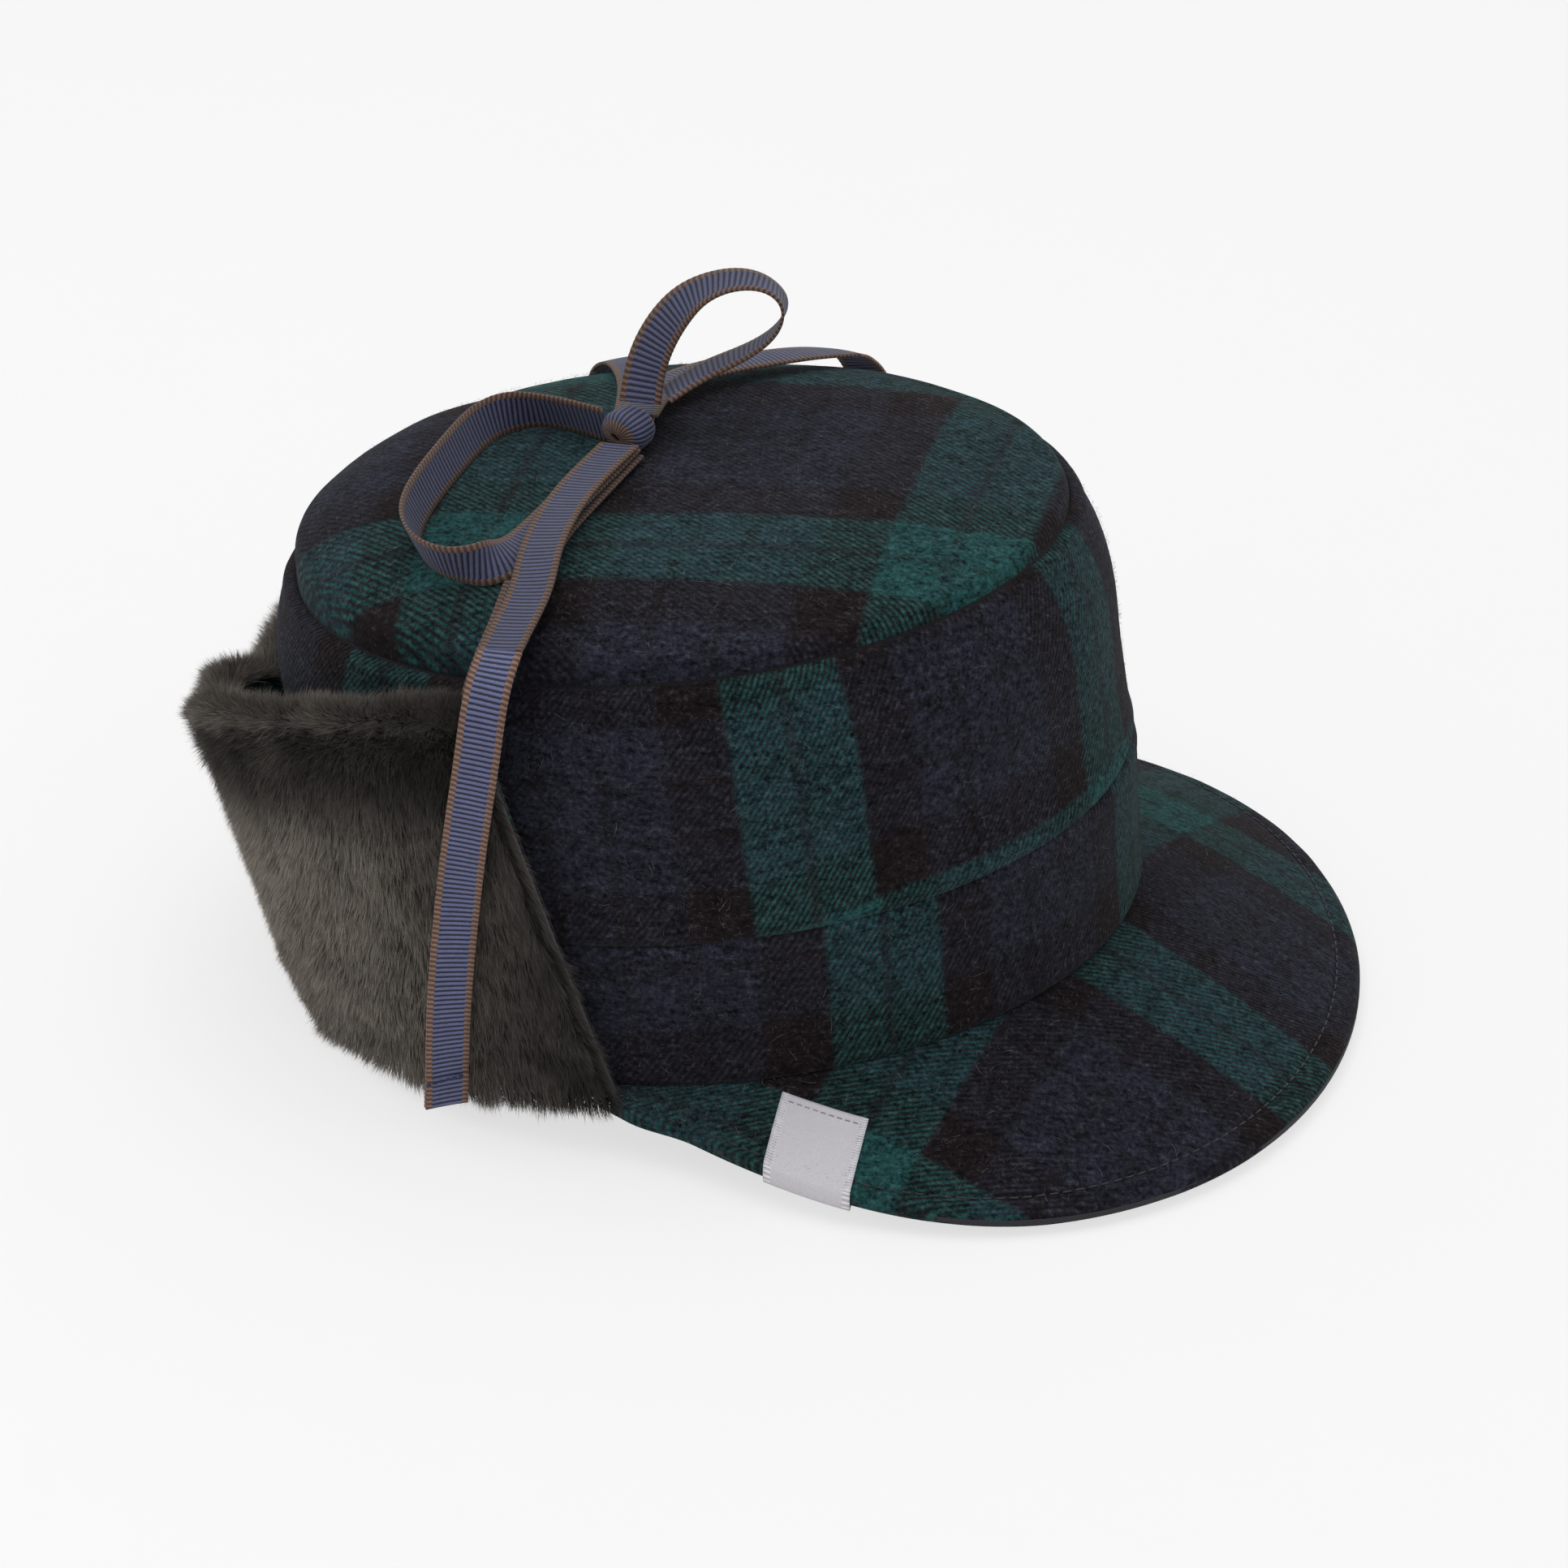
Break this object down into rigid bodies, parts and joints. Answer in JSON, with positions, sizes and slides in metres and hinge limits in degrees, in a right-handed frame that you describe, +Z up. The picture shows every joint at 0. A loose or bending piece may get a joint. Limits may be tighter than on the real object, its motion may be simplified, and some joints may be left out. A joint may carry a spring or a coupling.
{
  "type": "trapper hat",
  "caption": "Plaid wool trapper hat with a short brim, a fold-up fur-faced ear and neck flap, and ribbon ties in a bow over the crown.",
  "frame": {"origin": "centre of the head opening, at the lower edge of the crown", "axes": "+Z up with the hat at rest on a table, -Y towards the brim, +X towards the wearer's left"},
  "size_m": [0.2195, 0.2852, 0.1771],
  "materials": {
    "fur": "dense pile",
    "flap_cloth": "brushed wool plaid",
    "interlining": "felt wadding",
    "lining": "smooth satin",
    "sweatband": "ribbed grosgrain",
    "plaid_wool": "brushed wool plaid",
    "board": "flexible board",
    "label_weave": "damask weave",
    "thread": "sewing thread",
    "ribbon": "grosgrain"
  },
  "bodies": {
    "crown": {"tip_wool": "plaid_wool", "tip_interlining": "interlining", "tip_lining": "lining", "side_wool": "plaid_wool", "side_interlining": "interlining", "side_lining": "lining", "tip_seam_allowance": "plaid_wool", "band_seam_allowance": "plaid_wool", "lower_band_wool": "plaid_wool", "lower_band_interlining": "interlining", "sweatband": "sweatband", "sweatband_facing": "lining", "brim_top_wool": "plaid_wool", "brim_board": "board", "brim_under_wool": "plaid_wool", "brim_edge_binding": "plaid_wool", "brim_topstitching": "thread", "label": "label_weave", "label_stitching": "thread"},
    "panel_1": {"flap_wool_1": "flap_cloth", "flap_fur_1": "fur"},
    "panel_2": {"flap_wool_2": "flap_cloth", "flap_fur_2": "fur"},
    "panel_3": {"flap_wool_3": "flap_cloth", "flap_fur_3": "fur"},
    "panel_4": {"flap_wool_4": "flap_cloth", "flap_fur_4": "fur"},
    "panel_5": {"flap_wool_5": "flap_cloth", "flap_fur_5": "fur"},
    "panel_6": {"flap_wool_6": "flap_cloth", "flap_fur_6": "fur"},
    "panel_7": {"flap_wool_7": "flap_cloth", "flap_fur_7": "fur"},
    "panel_8": {"flap_wool_8": "flap_cloth", "flap_fur_8": "fur"},
    "panel_9": {"flap_wool_9": "flap_cloth", "flap_fur_9": "fur"},
    "right_ribbon": {"right_tie_ribbon": "ribbon", "right_tail_upper": "ribbon", "upright_loop": "ribbon", "back_loop": "ribbon", "bow_knot": "ribbon"},
    "right_tail": {"right_tail_lower": "ribbon", "right_tail_hem": "ribbon"},
    "left_ribbon": {"left_tie_ribbon": "ribbon", "left_tail_upper": "ribbon"},
    "left_tail": {"left_tail_lower": "ribbon", "left_tail_hem": "ribbon"}
  },
  "joints": [
    {"name": "flap_fold_1", "type": "hinge", "parent": "crown", "child": "panel_1", "pos_m": [-0.08062, 0.0307, -0.00532], "axis": [-0.2545, -0.9577, 0.1346], "range_deg": [0, 177]},
    {"name": "flap_fold_2", "type": "hinge", "parent": "crown", "child": "panel_2", "pos_m": [-0.06875, 0.05914, -0.00932], "axis": [-0.5104, -0.8516, 0.1197], "range_deg": [0, 172.03]},
    {"name": "flap_fold_3", "type": "hinge", "parent": "crown", "child": "panel_3", "pos_m": [-0.05009, 0.08182, -0.01251], "axis": [-0.748, -0.6572, 0.0924], "range_deg": [0, 167.81]},
    {"name": "flap_fold_4", "type": "hinge", "parent": "crown", "child": "panel_4", "pos_m": [-0.0264, 0.09648, -0.01457], "axis": [-0.9296, -0.3649, 0.0513], "range_deg": [0, 164.99]},
    {"name": "flap_fold_5", "type": "hinge", "parent": "crown", "child": "panel_5", "pos_m": [0, 0.10156, -0.01528], "axis": [-1, 0, 0], "range_deg": [0, 164]},
    {"name": "flap_fold_6", "type": "hinge", "parent": "crown", "child": "panel_6", "pos_m": [0.0264, 0.09648, -0.01457], "axis": [-0.9296, 0.3649, -0.0513], "range_deg": [0, 164.99]},
    {"name": "flap_fold_7", "type": "hinge", "parent": "crown", "child": "panel_7", "pos_m": [0.05009, 0.08182, -0.01251], "axis": [-0.748, 0.6572, -0.0924], "range_deg": [0, 167.81]},
    {"name": "flap_fold_8", "type": "hinge", "parent": "crown", "child": "panel_8", "pos_m": [0.06875, 0.05914, -0.00932], "axis": [-0.5104, 0.8516, -0.1197], "range_deg": [0, 172.03]},
    {"name": "flap_fold_9", "type": "hinge", "parent": "crown", "child": "panel_9", "pos_m": [0.08062, 0.0307, -0.00532], "axis": [-0.2545, 0.9577, -0.1346], "range_deg": [0, 177]},
    {"name": "right_ribbon_swing", "type": "hinge", "parent": "panel_1", "child": "right_ribbon", "pos_m": [-0.0915, 0.04742, 0.10028], "axis": [-0.2545, -0.9577, 0.1346], "range_deg": [0, 81]},
    {"name": "right_tail_swing", "type": "hinge", "parent": "right_ribbon", "child": "right_tail", "pos_m": [-0.084, 0.03811, 0.11451], "axis": [-0.2545, -0.9577, 0.1346], "range_deg": [-258, 0], "deforming": ["right_tail_lower"]},
    {"name": "left_ribbon_swing", "type": "hinge", "parent": "panel_9", "child": "left_ribbon", "pos_m": [0.0915, 0.04534, 0.08552], "axis": [-0.2545, 0.9577, -0.1346], "range_deg": [0, 68]},
    {"name": "left_tail_swing", "type": "hinge", "parent": "left_ribbon", "child": "left_tail", "pos_m": [0.076, -0.01757, 0.11426], "axis": [-0.2545, 0.9577, -0.1346], "range_deg": [-245, 0], "deforming": ["left_tail_lower"]}
  ],
  "couplings": [
    {"joint": "flap_fold_1", "follows": "flap_fold_5", "ratio": 1.0793},
    {"joint": "flap_fold_2", "follows": "flap_fold_5", "ratio": 1.0489},
    {"joint": "flap_fold_3", "follows": "flap_fold_5", "ratio": 1.0232},
    {"joint": "flap_fold_4", "follows": "flap_fold_5", "ratio": 1.006},
    {"joint": "flap_fold_6", "follows": "flap_fold_5", "ratio": 1.006},
    {"joint": "flap_fold_7", "follows": "flap_fold_5", "ratio": 1.0232},
    {"joint": "flap_fold_8", "follows": "flap_fold_5", "ratio": 1.0489},
    {"joint": "flap_fold_9", "follows": "flap_fold_5", "ratio": 1.0793},
    {"joint": "right_ribbon_swing", "follows": "flap_fold_5", "ratio": 0.4939},
    {"joint": "right_tail_swing", "follows": "flap_fold_5", "ratio": -1.5732},
    {"joint": "left_ribbon_swing", "follows": "flap_fold_5", "ratio": 0.41463},
    {"joint": "left_tail_swing", "follows": "flap_fold_5", "ratio": -1.4939}
  ]
}
